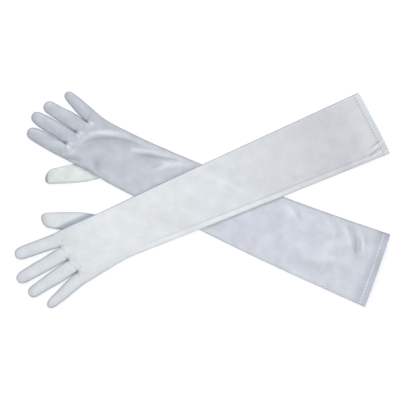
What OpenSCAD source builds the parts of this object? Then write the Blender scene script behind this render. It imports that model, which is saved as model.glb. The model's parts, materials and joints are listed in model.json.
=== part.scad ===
// A pair of above-elbow satin opera gloves, laid flat and crossed, backs of the hands up.
// Each glove is a flat-laid sleeve of thin cloth: a back layer, a palm layer, fourchettes
// between the fingers, an inset thumb, a turned hem and an inside seam allowance.
// Units are millimetres. The surface that the gloves lie on is z = 0.

/* [Cloth] */
// Thickness of one layer of cloth
cloth = 0.6; // [0.4:0.1:0.8]
// Width of the sewn or folded edge, where two layers meet
edge_w = 1.4; // [1:0.1:2]
// Gap between cloth of two parts that move against each other
gap = 0.4; // [0.3:0.1:0.8]

/* [Arm] */
// Length from the wrist line to the cuff, along the middle of the arm
arm_len = 391; // [380:1:400]
// Distance from the wrist line to the elbow fold
elbow_at = 266; // [258:1:272]
// Height of the cloth at the middle of the cuff's mouth
mouth_h = 11; // [9:1:14]
// Height at the wrist and at the elbow fold
sleeve_h = 7.5; // [7:0.5:8]
// Height of the lower glove where the other glove lies on it
pressed_h = 5.6; // [5:0.1:5.6]
// Height of the upper glove where it crosses the other glove
over_h = 6.5; // [6:0.5:8]

/* [Hand] */
// Height at the middle of the hand
hand_h = 9.4; // [9:0.1:10]
// Height that the thumb lifts the hand's thumb side to
thumb_prop = 4.2; // [4.2:0.1:4.4]
// Height of a finger
finger_h = 6.5; // [6:0.1:7]
// Height of the free part of the thumb
thumb_h = 6; // [5.5:0.1:6.5]

/* [Hem] */
// Depth of the turned hem
hem_depth = 10; // [8:1:15]
// Distance between hem stitches
stitch_pitch = 5; // [3:0.5:6]
// Length of a hem stitch
stitch_len = 2.6; // [1.5:0.1:2.8]
// Diameter of the sewing thread
thread_d = 0.5; // [0.4:0.1:0.7]
// Depth of the seam allowance inside the little-finger side
seam_depth = 6; // [4:1:8]

/* [Hidden] */
SIDES = ["left", "right"];
PARTS = [
    "cuff_back", "cuff_palm", "cuff_hem", "cuff_stitches", "cuff_seam",
    "elbow_back", "elbow_palm", "forearm_back", "forearm_palm", "forearm_seam",
    "wrist_back", "wrist_palm",
    "hand_back", "hand_palm", "hand_seam",
    "thumb_back", "thumb_palm",
    "index_back", "index_palm", "index_fourchette",
    "middle_back", "middle_palm", "middle_fourchettes",
    "ring_back", "ring_palm", "ring_fourchettes",
    "little_back", "little_palm", "little_fourchette"
];

left = 0;
right = 1;
satin = "whitesmoke";
shade = "lavender";
thread = "white";

// Where each glove's wrist is, and the directions of its hand and of its arm, in degrees
wrist_at = [[-115.4, -45.6], [-110, 55.6]];
hand_turn = [207, 150.8];
arm_turn = [23.25, -23.5];

// Whole width of the arm at the wrist and at the cuff, and how late the flare comes
wrist_w = [75, 78];
cuff_w = [97, 109];
flare = [0.85, 1.15];
// How far the little-finger side of the cuff stands out, as a slope across the cuff
cuff_skew = [-0.074, 0.072];
// How far the middle of the arm bows towards the thumb side
arm_bow = [0, 4.4];
// How much the wrist's fold leans, as a slope across the wrist, and how far that reaches
wrist_skew = [-0.033, -0.05];
skew_reach = 30;
// How high the arm lies above the surface: distance from the wrist, height
upper_lift = [[0, 0], [14, 0.5], [35, 3.4], [60, 6], [200, 6], [228, 3.4], [252, 0.3], [266, 0]];
lower_press = [[0, sleeve_h], [30, pressed_h], [228, pressed_h], [258, sleeve_h], [266, sleeve_h]];
upper_press = [[0, sleeve_h], [50, over_h], [210, over_h], [258, sleeve_h], [266, sleeve_h]];

// Half the width of the hand: distance from the wrist line, half width
palm_half = [
    [[0, 37.5], [18, 38], [40, 39.5], [60, 41], [74, 41.5], [90, 41.5]],
    [[0, 39.5], [34, 37.5], [60, 38.5], [75, 40], [90, 40.5]]
];

// Each finger of each glove, thumb side first: distance of its root from the wrist line,
// sideways place of its root, turn towards the thumb in degrees, length, root width, tip width
index = 0;
middle = 1;
ring = 2;
little = 3;
fingers = [
    [[82.5, 30.2, 7, 67.5, 20.6, 18.5], [86, 9.2, -3, 77, 20.2, 18.5],
     [84, -11.6, -7, 73.5, 20.2, 17], [76.4, -31.8, -14, 66.5, 19, 13.5]],
    [[86.5, 29.8, 0, 55, 20.6, 18], [83, 8.9, -2, 64, 20, 18],
     [76, -11.8, -2.7, 63, 19.4, 18], [69, -31.5, -13, 53, 18.6, 14]]
];
// Where the fourchettes are on each finger: little-finger side, thumb side
forked = [[true, false], [true, true], [true, true], [false, true]];

// The thumb's root on each hand, its turn from the hand's direction, and its stations:
// distance from the root, whole width
thumb_root = [[25, 27.5], [24, 29]];
thumb_turn = [30, 36.5];
thumb_width = [[0, 23], [18, 27], [34, 27], [52, 25], [66, 21.5]];
thumb_len = [78.5, 78.5];
// Where the thumb leaves the shelter of the hand's edge
thumb_free = 46;

// Shape of a section: how square its arch is, and how flat its base is
arch = 2.4;
base_flat = 4;
side_e = 2.5;
// How deep the palm's stitches are sunk in its cloth
sunk = 0.05;
// Step across the cuff over which a stitch's slope is taken
slope_step = 0.02;
// Distance of the hem stitches from the inner edge of the hem
hem_margin = 1.5;
// Layer that the hem starts at, just clear of the sleeve's own cloth
hem_layer = 1.5;
// Distance of the seam allowance from the inside of the sleeve's edge
seam_in = 2;
// How far the seam allowance lies below the edge of the sleeve
seam_drop = 0.35;
tip_steps = [0, 0.45, 0.75, 0.93];
hand_gap = gap + 0.1;

function mix(a, b, t) = a + (b - a) * t;
function ease(t) = let (k = min(1, max(0, t))) k * k * (3 - 2 * k);
function across(n) = [for (i = [0:n]) 2 * i / n - 1];

// A station is [x, half width, base, height, little-finger edge, thumb edge, skew, prop, bow].
// layer 0 is the outside of the cloth, 1 its inside, 2 the inside of a second layer.
function edge_at(st, u) = mix(st[4], st[5], (u + 1) / 2);
function back_z(st, u, layer) =
    let (e = edge_at(st, u))
    st[2] + e + (st[3] - e - layer * cloth) * (1 - pow(abs(u), arch));
function palm_z(st, u, layer) =
    let (prop = st[7] * ease((u * st[1] + 3) / 14), e = edge_at(st, u), low = prop + layer * cloth)
    st[2] + low + (e - low) * pow(abs(u), base_flat);
function side_y(st, u, layer) = st[8] + u * (st[1] - layer * edge_w);
function back_line(st, us, layer) = [
    for (u = us) [st[0] + st[6] * side_y(st, u, layer), side_y(st, u, layer), back_z(st, u, layer)]
];
function palm_line(st, us, layer) = [
    for (u = us) [st[0] + st[6] * side_y(st, u, layer), side_y(st, u, layer), palm_z(st, u, layer)]
];

// Two triangles for the four corners of a patch
function patch(a, b, c, d) = [[a, b, c], [a, c, d]];

// A closed skin through rings, each of n points on one face and then n on the other
module loft(rings, flip = false) {
    n = len(rings[0]) / 2;
    m = len(rings);
    points = [for (r = rings) each r];
    skin = [
        for (i = [0:m - 2]) for (j = [0:n - 2]) let (a = i * 2 * n + j, b = a + 2 * n)
            each patch(a, a + 1, b + 1, b),
        for (i = [0:m - 2]) for (j = [0:n - 2]) let (a = i * 2 * n + n + j, b = a + 2 * n)
            each patch(a, b, b + 1, a + 1),
        for (i = [0:m - 2]) let (a = i * 2 * n, b = a + 2 * n) each patch(a, b, b + n, a + n),
        for (i = [0:m - 2]) let (a = i * 2 * n + n - 1, b = a + 2 * n) each patch(a, a + n, b + n, b),
        for (j = [0:n - 2]) each patch(j, j + n, j + n + 1, j + 1),
        for (j = [0:n - 2]) let (a = (m - 1) * 2 * n + j) each patch(a, a + 1, a + n + 1, a + n)
    ];
    faces = flip ? [for (f = skin) [f[0], f[2], f[1]]] : skin;
    polyhedron(points, faces);
}

module back_layer(stations, n, layer = 0) {
    us = across(n);
    loft([for (st = stations) concat(back_line(st, us, layer), back_line(st, us, layer + 1))], true);
}

module palm_layer(stations, n, layer = 0) {
    us = across(n);
    loft([for (st = stations) concat(palm_line(st, us, layer), palm_line(st, us, layer + 1))]);
}

// ---- Arm, from the wrist line to the cuff

function arm_half(g, t) = (wrist_w[g] + (cuff_w[g] - wrist_w[g]) * pow(t / arm_len, flare[g])) / 2;
function bow_at(g, t) = arm_bow[g] * sin(180 * t / arm_len);
function arm_base(g, t) = g == left && t < elbow_at ? lookup(t, upper_lift) : 0;
function forearm_h(g, t) = lookup(t, g == left ? upper_press : lower_press);
function skew_at(g, t) = wrist_skew[g] * max(0, 1 - t / skew_reach);
function forearm_station(g, t) =
    [t, arm_half(g, t), arm_base(g, t), forearm_h(g, t), side_e, side_e, skew_at(g, t), 0, bow_at(g, t)];
// The sleeve between wrist and elbow is cut in three: where it climbs, lies level and comes down
wrist_end = 45;
elbow_start = 214;
wrist_steps = [gap, 14, skew_reach, wrist_end];
level_steps = [wrist_end, 60, 100, 150, 200, elbow_start];
elbow_steps = [elbow_start, 228, 252, elbow_at - gap];
function arm_stations(g, steps) = [for (t = steps) forearm_station(g, t)];
function cuff_station(g, t) =
    let (k = (t - elbow_at) / (arm_len - elbow_at))
    [t, arm_half(g, t), 0, mix(sleeve_h, mouth_h, ease(k)), side_e, side_e, cuff_skew[g] * k, 0,
     bow_at(g, t)];
function cuff_stations(g) = [
    for (t = [elbow_at + gap, 290, 320, 350, 374, arm_len]) cuff_station(g, t)
];
function hem_stations(g) = [for (t = [arm_len - hem_depth, arm_len - 0.1]) cuff_station(g, t)];

// The seam allowance lies flat between the layers, inside the little-finger edge
module seam_ribbon(stations) {
    loft([
        for (st = stations)
            let (
                outer_y = st[8] - (st[1] - 2 * edge_w - seam_in),
                z = st[2] + side_e - seam_drop,
                x = st[0],
                skew = st[6]
            )
            [
                [x + skew * (outer_y + seam_depth), outer_y + seam_depth, z + cloth],
                [x + skew * outer_y, outer_y, z + cloth],
                [x + skew * (outer_y + seam_depth), outer_y + seam_depth, z],
                [x + skew * outer_y, outer_y, z]
            ]
    ]);
}

function surface_z(st, u, upper) = upper ? back_z(st, u, 0) : palm_z(st, u, 0);

// One row of hem stitches on each layer, pressed a little into the cloth
module stitch_row(g, upper) {
    st = cuff_station(g, arm_len - hem_depth + hem_margin);
    count = floor(2 * (st[1] - seam_depth) / stitch_pitch);
    for (i = [0:count]) {
        y = (i - count / 2) * stitch_pitch;
        u = y / st[1];
        z = upper ? back_z(st, u, 0) : palm_z(st, u, 0) + thread_d / 2 + sunk;
        rise = surface_z(st, u + slope_step, upper) - surface_z(st, u - slope_step, upper);
        slope = atan(rise / (2 * slope_step * st[1]));
        translate([st[0] + st[6] * (st[8] + y), st[8] + y, z])
            rotate([slope - 90, 0, 0])
            cylinder(h = stitch_len, d = thread_d, center = true, $fn = 16);
    }
}

// ---- Hand, from the wrist line to the finger roots

function finger_sin(f) = sin(f[2]);
function finger_cos(f) = cos(f[2]);
// At a fork the hand's edge keeps clear of the finger that starts nearer to the wrist
function fork_room(g, i, side) =
    let (n = i - side)
    n < index || n > little ? 0 : (fingers[g][n][0] > fingers[g][i][0] ? 0.2 : -0.5);
function root_end(g, i, side) =
    let (f = fingers[g][i], half = f[4] / 2 + fork_room(g, i, side))
    [f[1] + side * half * finger_cos(f), f[0] - side * half * finger_sin(f) - hand_gap];
// The front edge of the hand follows the finger roots: sideways place, distance from the wrist
function front_edge(g) =
    [for (i = [little:-1:index]) each [root_end(g, i, -1), root_end(g, i, 1)]];
hand_us = 18;

function hand_prop(x) = thumb_prop * ease((x - 4) / 14);
function hand_station(g, x) =
    let (prop = hand_prop(x))
    [x, lookup(x, palm_half[g]), 0, mix(sleeve_h, hand_h, ease(x / 30)),
     side_e, side_e + prop, skew_at(g, x), prop, 0];
// The last ring keeps each finger's root height, and lies along the front edge
function front_line(g, palm, layer) =
    let (
        st = [0, lookup(84, palm_half[g]), 0, finger_h + 1.6, 2.6, 4, 0, 1.4, 0],
        edge = front_edge(g)
    )
    [
        for (u = across(hand_us))
            let (y = side_y(st, u, layer))
            [lookup(y, edge), y, palm ? palm_z(st, u, layer) : back_z(st, u, layer)]
    ];
function near_front(g, palm, layer) =
    let (
        st = [0, lookup(74, palm_half[g]), 0, hand_h - 0.6, side_e, side_e + thumb_prop, 0, thumb_prop,
              0],
        edge = front_edge(g)
    )
    [
        for (u = across(hand_us))
            let (y = side_y(st, u, layer))
            [mix(56, lookup(y, edge), 0.62), y, palm ? palm_z(st, u, layer) : back_z(st, u, layer)]
    ];

module hand_layer(g, palm) {
    us = across(hand_us);
    rows = [
        for (x = [0, 8, 20, 38, 56])
            let (st = hand_station(g, x))
            palm
                ? concat(palm_line(st, us, 0), palm_line(st, us, 1))
                : concat(back_line(st, us, 0), back_line(st, us, 1))
    ];
    ends = [
        concat(near_front(g, palm, 0), near_front(g, palm, 1)),
        concat(front_line(g, palm, 0), front_line(g, palm, 1))
    ];
    loft(concat(rows, ends), !palm);
}

// ---- Fingers

// Half width of a rounded tip that is k of the way round
function tip_half(f, k) = f[5] / 2 * sqrt(max(0.04, 1 - k * k));
function tip_start(f) = f[3] - f[5] * 0.42;
function finger_edges(i) = [forked[i][0] ? 4 : 2.6, forked[i][1] ? 4 : 2.6];
function palm_edges(i) = [forked[i][0] ? 1.3 : 2.6, forked[i][1] ? 1.3 : 2.6];
function finger_base(i, x, len) = (i == index ? 1.4 : 0.6) * (1 - ease(x / (0.6 * len)));
// Towards the tip the two layers and the fourchette come together
function finger_station(i, f, x, half, closing, edges) =
    let (tip_e = 2.4, h = mix(finger_h, tip_e + 1.6, closing * closing))
    [x, half, finger_base(i, x, f[3]), h,
     mix(edges[0], tip_e, closing), mix(edges[1], tip_e, closing), 0, 0, 0];
function finger_stations(i, f, edges) = concat(
    [for (k = [0, 0.35, 0.7]) let (x = mix(gap, tip_start(f), k))
        finger_station(i, f, x, mix(f[4], mix(f[4], f[5], 0.5), k) / 2, 0, edges)],
    [for (k = tip_steps) let (x = mix(tip_start(f), f[3], k))
        finger_station(i, f, x, tip_half(f, k), k, edges)]
);

module finger_place(f) {
    translate([f[0], f[1], 0]) rotate([0, 0, f[2]]) children();
}

module finger_layer(g, i, palm) {
    f = fingers[g][i];
    finger_place(f)
        if (palm) palm_layer(finger_stations(i, f, palm_edges(i)), 6);
        else back_layer(finger_stations(i, f, finger_edges(i)), 6);
}

// The strip of a fourchette on one side of a finger: -1 little-finger side, 1 thumb side
module fourchette(g, i, side) {
    f = fingers[g][i];
    low = finger_stations(i, f, palm_edges(i));
    high = finger_stations(i, f, finger_edges(i));
    k = side < 0 ? 4 : 5;
    finger_place(f)
        loft([
            for (j = [0:len(low) - 3])
                let (y1 = side * low[j][1], y2 = side * (low[j][1] - edge_w),
                     z1 = low[j][2] + low[j][k], z2 = high[j][2] + high[j][k], x = low[j][0])
                [[x, y1, z1], [x, y1, z2], [x, y2, z1], [x, y2, z2]]
        ], side > 0);
}

module fourchettes(g, i) {
    if (forked[i][0]) fourchette(g, i, -1);
    if (forked[i][1]) fourchette(g, i, 1);
}

// ---- Thumb, which comes out from under the hand

function thumb_height(x) = mix(3.5, thumb_h, ease((x - thumb_free + 6) / 22));
function thumb_station(x, half, closing) =
    let (e = min(2.2, thumb_height(x) - 1.2), h = mix(thumb_height(x), e + 1.4, closing * closing))
    [x, half, 0, h, e, e, 0, 0, 0];
function thumb_stations(g) =
    let (tip = lookup(66, thumb_width), start = thumb_len[g] - tip * 0.5)
    concat(
        [for (x = [0, 18, 34, 46, 57]) thumb_station(x, lookup(x, thumb_width) / 2, 0)],
        [for (k = tip_steps) thumb_station(mix(start, thumb_len[g], k), tip_half([0, 0, 0, 0, 0, tip], k), k)]
    );

module thumb_place(g) {
    translate([thumb_root[g][0], thumb_root[g][1], 0]) rotate([0, 0, thumb_turn[g]]) children();
}

// ---- Placing

module on_hand(g) {
    translate([wrist_at[g][0], wrist_at[g][1], 0])
        rotate([0, 0, hand_turn[g]])
        mirror([0, g == left ? 1 : 0, 0])
        children();
}

module on_arm(g) {
    translate([wrist_at[g][0], wrist_at[g][1], 0])
        rotate([0, 0, arm_turn[g]])
        mirror([0, g == left ? 0 : 1, 0])
        children();
}

// ---- Sub-parts

module cuff_back(g) { color(satin) on_arm(g) back_layer(cuff_stations(g), 12); }
module cuff_palm(g) { color(satin) on_arm(g) palm_layer(cuff_stations(g), 12); }
module cuff_hem(g) {
    color(shade) on_arm(g) {
        back_layer(hem_stations(g), 12, hem_layer);
        palm_layer(hem_stations(g), 12, hem_layer);
    }
}
module cuff_stitches(g) {
    color(thread) on_arm(g) {
        stitch_row(g, true);
        stitch_row(g, false);
    }
}
module cuff_seam(g) {
    color(shade) on_arm(g)
        seam_ribbon([for (t = [elbow_at + gap, 300, 340, arm_len - hem_depth - 1]) cuff_station(g, t)]);
}
module arm_back(g, steps) { color(satin) on_arm(g) back_layer(arm_stations(g, steps), 12); }
module arm_palm(g, steps) { color(satin) on_arm(g) palm_layer(arm_stations(g, steps), 12); }
module forearm_seam(g) {
    color(shade) on_arm(g) seam_ribbon(arm_stations(g, [gap, 14, skew_reach, 45, 60, 200, 214, 228, 252, elbow_at - gap]));
}
module hand_back(g) { color(satin) on_hand(g) hand_layer(g, false); }
module hand_palm(g) { color(satin) on_hand(g) hand_layer(g, true); }
module hand_seam(g) {
    color(shade) on_hand(g) seam_ribbon([for (x = [0.2, 20, 40, 60]) hand_station(g, x)]);
}
module thumb_back(g) { color(satin) on_hand(g) thumb_place(g) back_layer(thumb_stations(g), 6); }
module thumb_palm(g) { color(satin) on_hand(g) thumb_place(g) palm_layer(thumb_stations(g), 6); }
module finger_back(g, i) { color(satin) on_hand(g) finger_layer(g, i, false); }
module finger_palm(g, i) { color(satin) on_hand(g) finger_layer(g, i, true); }
module finger_fork(g, i) { color(shade) on_hand(g) fourchettes(g, i); }

for (g = [left, right]) {
    s = str(SIDES[g], "_");
    cuff_back(g);
    cuff_palm(g);
    cuff_hem(g);
    cuff_stitches(g);
    cuff_seam(g);
    arm_back(g, elbow_steps);
    arm_palm(g, elbow_steps);
    arm_back(g, level_steps);
    arm_palm(g, level_steps);
    arm_back(g, wrist_steps);
    arm_palm(g, wrist_steps);
    forearm_seam(g);
    hand_back(g);
    hand_palm(g);
    hand_seam(g);
    thumb_back(g);
    thumb_palm(g);
    finger_back(g, index);
    finger_palm(g, index);
    finger_fork(g, index);
    finger_back(g, middle);
    finger_palm(g, middle);
    finger_fork(g, middle);
    finger_back(g, ring);
    finger_palm(g, ring);
    finger_fork(g, ring);
    finger_back(g, little);
    finger_palm(g, little);
    finger_fork(g, little);
}
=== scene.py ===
# %% [markdown]
# # A pair of satin opera gloves
# The real gloves are two long sleeves of white stretch satin. Each has a back and a palm, four
# fingers, a thumb sewn in separately and a turned hem. They lie flat, crossed in an X, with the
# backs of the hands up. This lesson builds them around a frame of plain CAD solids, which say
# where every part is and where it bends. Soft cloth has no flat faces or corners to extrude, so
# each glove is made as one skin over its own outline, and the skin is then cut where it bends.

# %% Load the frame
import json
import math
import bpy
import numpy as np
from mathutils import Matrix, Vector
from mathutils.geometry import delaunay_2d_cdt
from mathutils.kdtree import KDTree


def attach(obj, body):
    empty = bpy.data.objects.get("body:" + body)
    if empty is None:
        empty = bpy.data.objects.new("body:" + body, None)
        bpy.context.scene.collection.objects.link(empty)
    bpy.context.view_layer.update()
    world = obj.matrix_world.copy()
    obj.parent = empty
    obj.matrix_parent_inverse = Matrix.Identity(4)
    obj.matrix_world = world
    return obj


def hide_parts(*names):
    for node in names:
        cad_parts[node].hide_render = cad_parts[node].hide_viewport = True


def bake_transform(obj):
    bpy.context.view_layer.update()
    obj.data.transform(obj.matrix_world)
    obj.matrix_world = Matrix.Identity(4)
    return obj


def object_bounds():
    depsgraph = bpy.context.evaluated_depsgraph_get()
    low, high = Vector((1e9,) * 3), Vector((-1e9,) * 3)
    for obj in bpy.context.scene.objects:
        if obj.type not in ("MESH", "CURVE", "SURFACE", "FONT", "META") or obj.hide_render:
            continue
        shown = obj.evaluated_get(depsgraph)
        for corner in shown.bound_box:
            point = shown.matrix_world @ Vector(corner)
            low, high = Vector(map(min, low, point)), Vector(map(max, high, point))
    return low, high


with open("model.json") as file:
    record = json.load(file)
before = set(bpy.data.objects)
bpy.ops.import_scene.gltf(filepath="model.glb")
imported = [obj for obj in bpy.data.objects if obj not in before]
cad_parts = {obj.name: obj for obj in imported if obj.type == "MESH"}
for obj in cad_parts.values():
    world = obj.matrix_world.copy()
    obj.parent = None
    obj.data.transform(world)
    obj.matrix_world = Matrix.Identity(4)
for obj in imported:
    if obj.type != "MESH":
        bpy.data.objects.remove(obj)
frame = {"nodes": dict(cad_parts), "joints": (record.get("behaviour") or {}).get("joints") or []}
cad_low, cad_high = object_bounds()
nodes = frame["nodes"]
joints = {j["name"]: j for j in frame["joints"]}
mm = 0.001
FINGERS = ["little", "ring", "middle", "index"]
SIDES = ["left", "right"]
print("object size in mm:", [round((b - a) / mm, 1) for a, b in zip(cad_low, cad_high)])

# %% [markdown]
# ## Reading the frame
# A hinge lies across the glove, and a positive turn lifts what it carries. So the way that a
# finger points is a quarter turn from its hinge. A slice through a CAD node says how wide the
# glove is at that place, and a list of slices gives the outline that the cloth has to follow.

# %% Directions and slices
def place_of(joint):
    return np.array(joints[joint]["pos_m"][:2])


def heading_of(joint):
    axis = joints[joint]["axis"]
    return np.array([-axis[1], axis[0]])


def quarter_turn(v):
    return np.array([-v[1], v[0]])


def unit(v):
    return v / np.linalg.norm(v)


def run_length(points):
    """How far along a line of points each of them lies."""
    return np.concatenate([[0], np.cumsum(np.linalg.norm(np.diff(points, axis=0), axis=1))])


def across_line(line):
    """Unit vectors across a line of points, a quarter turn from its run."""
    run = np.gradient(line, axis=0)
    run /= np.linalg.norm(run, axis=1)[:, None]
    return np.stack([-run[:, 1], run[:, 0]], axis=1)


def plan_edges(node):
    mesh = nodes[node].data
    spots = np.array([v.co for v in mesh.vertices])[:, :2]
    ends = np.array([e.vertices for e in mesh.edges])
    return spots[ends[:, 0]], spots[ends[:, 1]]


def slice_limits(node, start, along, distance):
    """Lowest and highest sideways place of a node where a line across it cuts its edges."""
    a, b = plan_edges(node)
    ta = (a - start) @ along - distance
    tb = (b - start) @ along - distance
    crossed = ta * tb < 0
    ta, tb = ta[crossed], tb[crossed]
    share = (ta / (ta - tb))[:, None]
    cut = a[crossed] + share * (b - a)[crossed]
    sideways = (cut - start) @ quarter_turn(along)
    return sideways.min(), sideways.max()


def reach_of(node, start, along):
    a, b = plan_edges(node)
    return max(((a - start) @ along).max(), ((b - start) @ along).max())


class Glove:
    """What the frame says about one glove: its directions, its lengths and its thumb side."""

    def __init__(self, side):
        self.side = side
        self.wrist = place_of(side + "_wrist_bend")
        self.elbow = place_of(side + "_elbow_fold")
        self.to_cuff = heading_of(side + "_elbow_fold")
        self.to_hand = heading_of(side + "_wrist_bend")
        thumb = place_of(side + "_thumb_swing") - self.wrist
        self.thumb_sign = 1 if thumb @ quarter_turn(self.to_hand) > 0 else -1
        self.to_thumb_side = quarter_turn(self.to_hand) * self.thumb_sign
        self.elbow_at = (self.elbow - self.wrist) @ self.to_cuff
        self.palm_length = (place_of(side + "_middle_bend") - self.wrist) @ self.to_hand
        low, high = slice_limits(side + "_hand_back", self.wrist, self.to_hand, 10 * mm)
        self.half_wrist = (high - low) / 2

    def finger(self, name):
        joint = f"{self.side}_{name}_bend"
        return place_of(joint), heading_of(joint)


def arm_slice(glove, distance):
    """Sideways limits of the sleeve at a distance from the wrist, in the node that is there."""
    best = None
    for part in ("_wrist_back", "_forearm_back", "_elbow_back", "_cuff_back"):
        a, b = plan_edges(glove.side + part)
        reach = (np.vstack([a, b]) - glove.wrist) @ glove.to_cuff
        near = min(max(distance, reach.min() + 0.3 * mm), reach.max() - 0.3 * mm)
        if best is None or abs(near - distance) < abs(best[1] - distance):
            best = (glove.side + part, near)
    return slice_limits(best[0], glove.wrist, glove.to_cuff, best[1])


gloves = {side: Glove(side) for side in SIDES}
for side, glove in gloves.items():
    print(side, "thumb side", glove.to_thumb_side.round(2), "elbow at", round(glove.elbow_at / mm, 1))

# %% [markdown]
# ## The outline
# The cloth's outline runs from the cuff along the little-finger side, round the four fingers and
# back along the thumb side. The sides come from slices of the CAD parts. A fingertip is a round
# end between its last two side points, and a little squarer where the power is higher.

# %% Outline of one glove
SIDE_STEPS = [0.12, 0.35, 0.6, 0.8]
TIP_POWER = {"little": 2.1, "ring": 2.7, "middle": 2.3, "index": 2.2}
FINGERTIP_POINTS = 15
ROOT_AT = 1.5 * mm
FORK_DEPTH = 2.5 * mm
HAND_SLICES = (10 * mm, 24 * mm, 40 * mm, 54 * mm)


def corners_of(node, start, along, distance, thumb_sign):
    """The little-finger side and thumb side points of a slice."""
    low, high = slice_limits(node, start, along, distance)
    across = quarter_turn(along)
    pair = [start + along * distance + across * low, start + along * distance + across * high]
    return pair if thumb_sign > 0 else pair[::-1]


def round_end(low, high, cap, count, side_power, cap_power, skew=0):
    """A round end from one side point to the other, as long as the cap. Skew leans it sideways."""
    half = (high - low) / 2
    middle = (high + low) / 2
    tip = []
    for angle in np.linspace(0, math.pi, count)[1:-1]:
        wide = -math.copysign(abs(math.cos(angle)) ** side_power, math.cos(angle))
        tip.append(middle + half * wide + cap * (1 + skew * wide) * math.sin(angle) ** cap_power)
    return tip


def finger_sides(glove, name):
    """Points up the little-finger side of a finger, round its tip and down its thumb side."""
    start, along = glove.finger(name)
    node = f"{glove.side}_{name}_back"
    length = reach_of(node, start, along)
    up, down = [], []
    for step in SIDE_STEPS:
        first, second = corners_of(node, start, along, length * step, glove.thumb_sign)
        up.append(first)
        down.append(second)
    cap = along * (length * (1 - SIDE_STEPS[-1]))
    power = 2 / TIP_POWER[name]
    return up + round_end(up[-1], down[-1], cap, FINGERTIP_POINTS, power, power) + down[::-1]


# How far neighbouring fingers close up at each side step: little-ring, ring-middle, middle-index
TOUCH = {
    "left": [(1, 0.55, 0, 0), (1, 0.45, 0, 0), (0.5, 0, 0, 0)],
    "right": [(1, 0.75, 0.1, 0), (1, 1, 0.55, 0), (1, 1, 0.9, 0.25)],
}
FINGER_GAP = 0.55 * mm


def close_up(points, others, shares):
    """Moves the side points of a finger towards its neighbour's side, up to half the gap."""
    moved = []
    for point, share in zip(points, shares):
        a, b = others[:-1], others[1:]
        run = b - a
        t = np.clip(((point - a) * run).sum(axis=1) / (run ** 2).sum(axis=1), 0, 1)
        spots = a + t[:, None] * run
        gaps = np.linalg.norm(spots - point, axis=1)
        k = gaps.argmin()
        step = max(0, gaps[k] - FINGER_GAP) / 2 * share
        moved.append(point + (spots[k] - point) / gaps[k] * step)
    return moved


def all_finger_sides(glove):
    loops = [finger_sides(glove, name) for name in FINGERS]
    steps = len(SIDE_STEPS)
    closed = [list(loop) for loop in loops]
    for i in range(3):
        shares = TOUCH[glove.side][i]
        down = np.array(loops[i][-steps:][::-1])
        up = np.array(loops[i + 1][:steps])
        closed[i][-steps:] = close_up(down, up, shares)[::-1]
        closed[i + 1][:steps] = close_up(up, down, shares)
    return closed


def fork_between(glove, first, second):
    """The fork of two neighbouring fingers, half way between the corners of their roots."""
    points = []
    for name, thumb_side in ((first, True), (second, False)):
        start, along = glove.finger(name)
        pair = corners_of(f"{glove.side}_{name}_back", start, along, ROOT_AT, glove.thumb_sign)
        points.append(pair[1] if thumb_side else pair[0])
    return (points[0] + points[1]) / 2 - glove.to_hand * FORK_DEPTH


def rough_outline(glove):
    side = glove.side
    little_side, thumb_side = [], []
    cuff = reach_of(side + "_cuff_back", glove.wrist, glove.to_cuff)
    elbow = glove.elbow_at
    across = quarter_turn(glove.to_cuff)
    cuff_steps = np.linspace(cuff - 12 * mm, elbow + 10 * mm, 6)
    arm_steps = np.linspace(elbow - 8 * mm, 14 * mm, 12)
    for distance in np.concatenate([cuff_steps, arm_steps]):
        pair = [glove.wrist + glove.to_cuff * distance + across * w for w in arm_slice(glove, distance)]
        little_side.append(pair[0] if glove.thumb_sign < 0 else pair[1])
        thumb_side.append(pair[1] if glove.thumb_sign < 0 else pair[0])
    for distance in HAND_SLICES:
        pair = corners_of(side + "_hand_back", glove.wrist, glove.to_hand, distance, glove.thumb_sign)
        little_side.append(pair[0])
        thumb_side.append(pair[1])
    a, b = plan_edges(side + "_cuff_back")
    spots = np.vstack([a, b]) - glove.wrist
    across = -quarter_turn(glove.to_cuff) * glove.thumb_sign
    corner_score = spots @ glove.to_cuff
    little_corner = glove.wrist + spots[np.argmax(corner_score - 3 * (spots @ across))]
    thumb_corner = glove.wrist + spots[np.argmax(corner_score + 3 * (spots @ across))]
    loop = [little_corner] + little_side
    marks = {}
    for i, (name, points) in enumerate(zip(FINGERS, all_finger_sides(glove))):
        loop += points
        if i < 3:
            marks[name] = len(loop)
            loop.append(fork_between(glove, name, FINGERS[i + 1]))
    loop += thumb_side[::-1] + [thumb_corner]
    return np.array(loop), [loop[marks[n]] for n in FINGERS[:3]]


def resample(loop, spacing, closed=True):
    points = np.vstack([loop, loop[:1]]) if closed else np.array(loop)
    run = run_length(points)
    count = max(3, int(round(run[-1] / spacing)))
    at = np.linspace(0, run[-1], count + 1)
    even = np.stack([np.interp(at, run, points[:, k]) for k in (0, 1)], axis=1)
    return even[:-1] if closed else even


def soften(points, rounds):
    """Rounds the corners of an open line, and keeps its two ends."""
    points = points.copy()
    for _ in range(rounds):
        points[1:-1] = (points[:-2] + 2 * points[1:-1] + points[2:]) / 4
    return points


EDGE_STEP = 1.3 * mm
outlines, forks = {}, {}
for side, glove in gloves.items():
    rough, forks[side] = rough_outline(glove)
    outlines[side] = soften(resample(rough, EDGE_STEP, closed=False), 6)
    print(side, "outline points", len(outlines[side]))

# %% [markdown]
# ## Distance from the edge
# A flat sleeve is lowest at its edges and fullest in the middle, so nearly every height on the
# cloth follows from how far a point is from the sewn or folded edge. The cuff's mouth is open,
# so it doesn't count as an edge.

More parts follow.
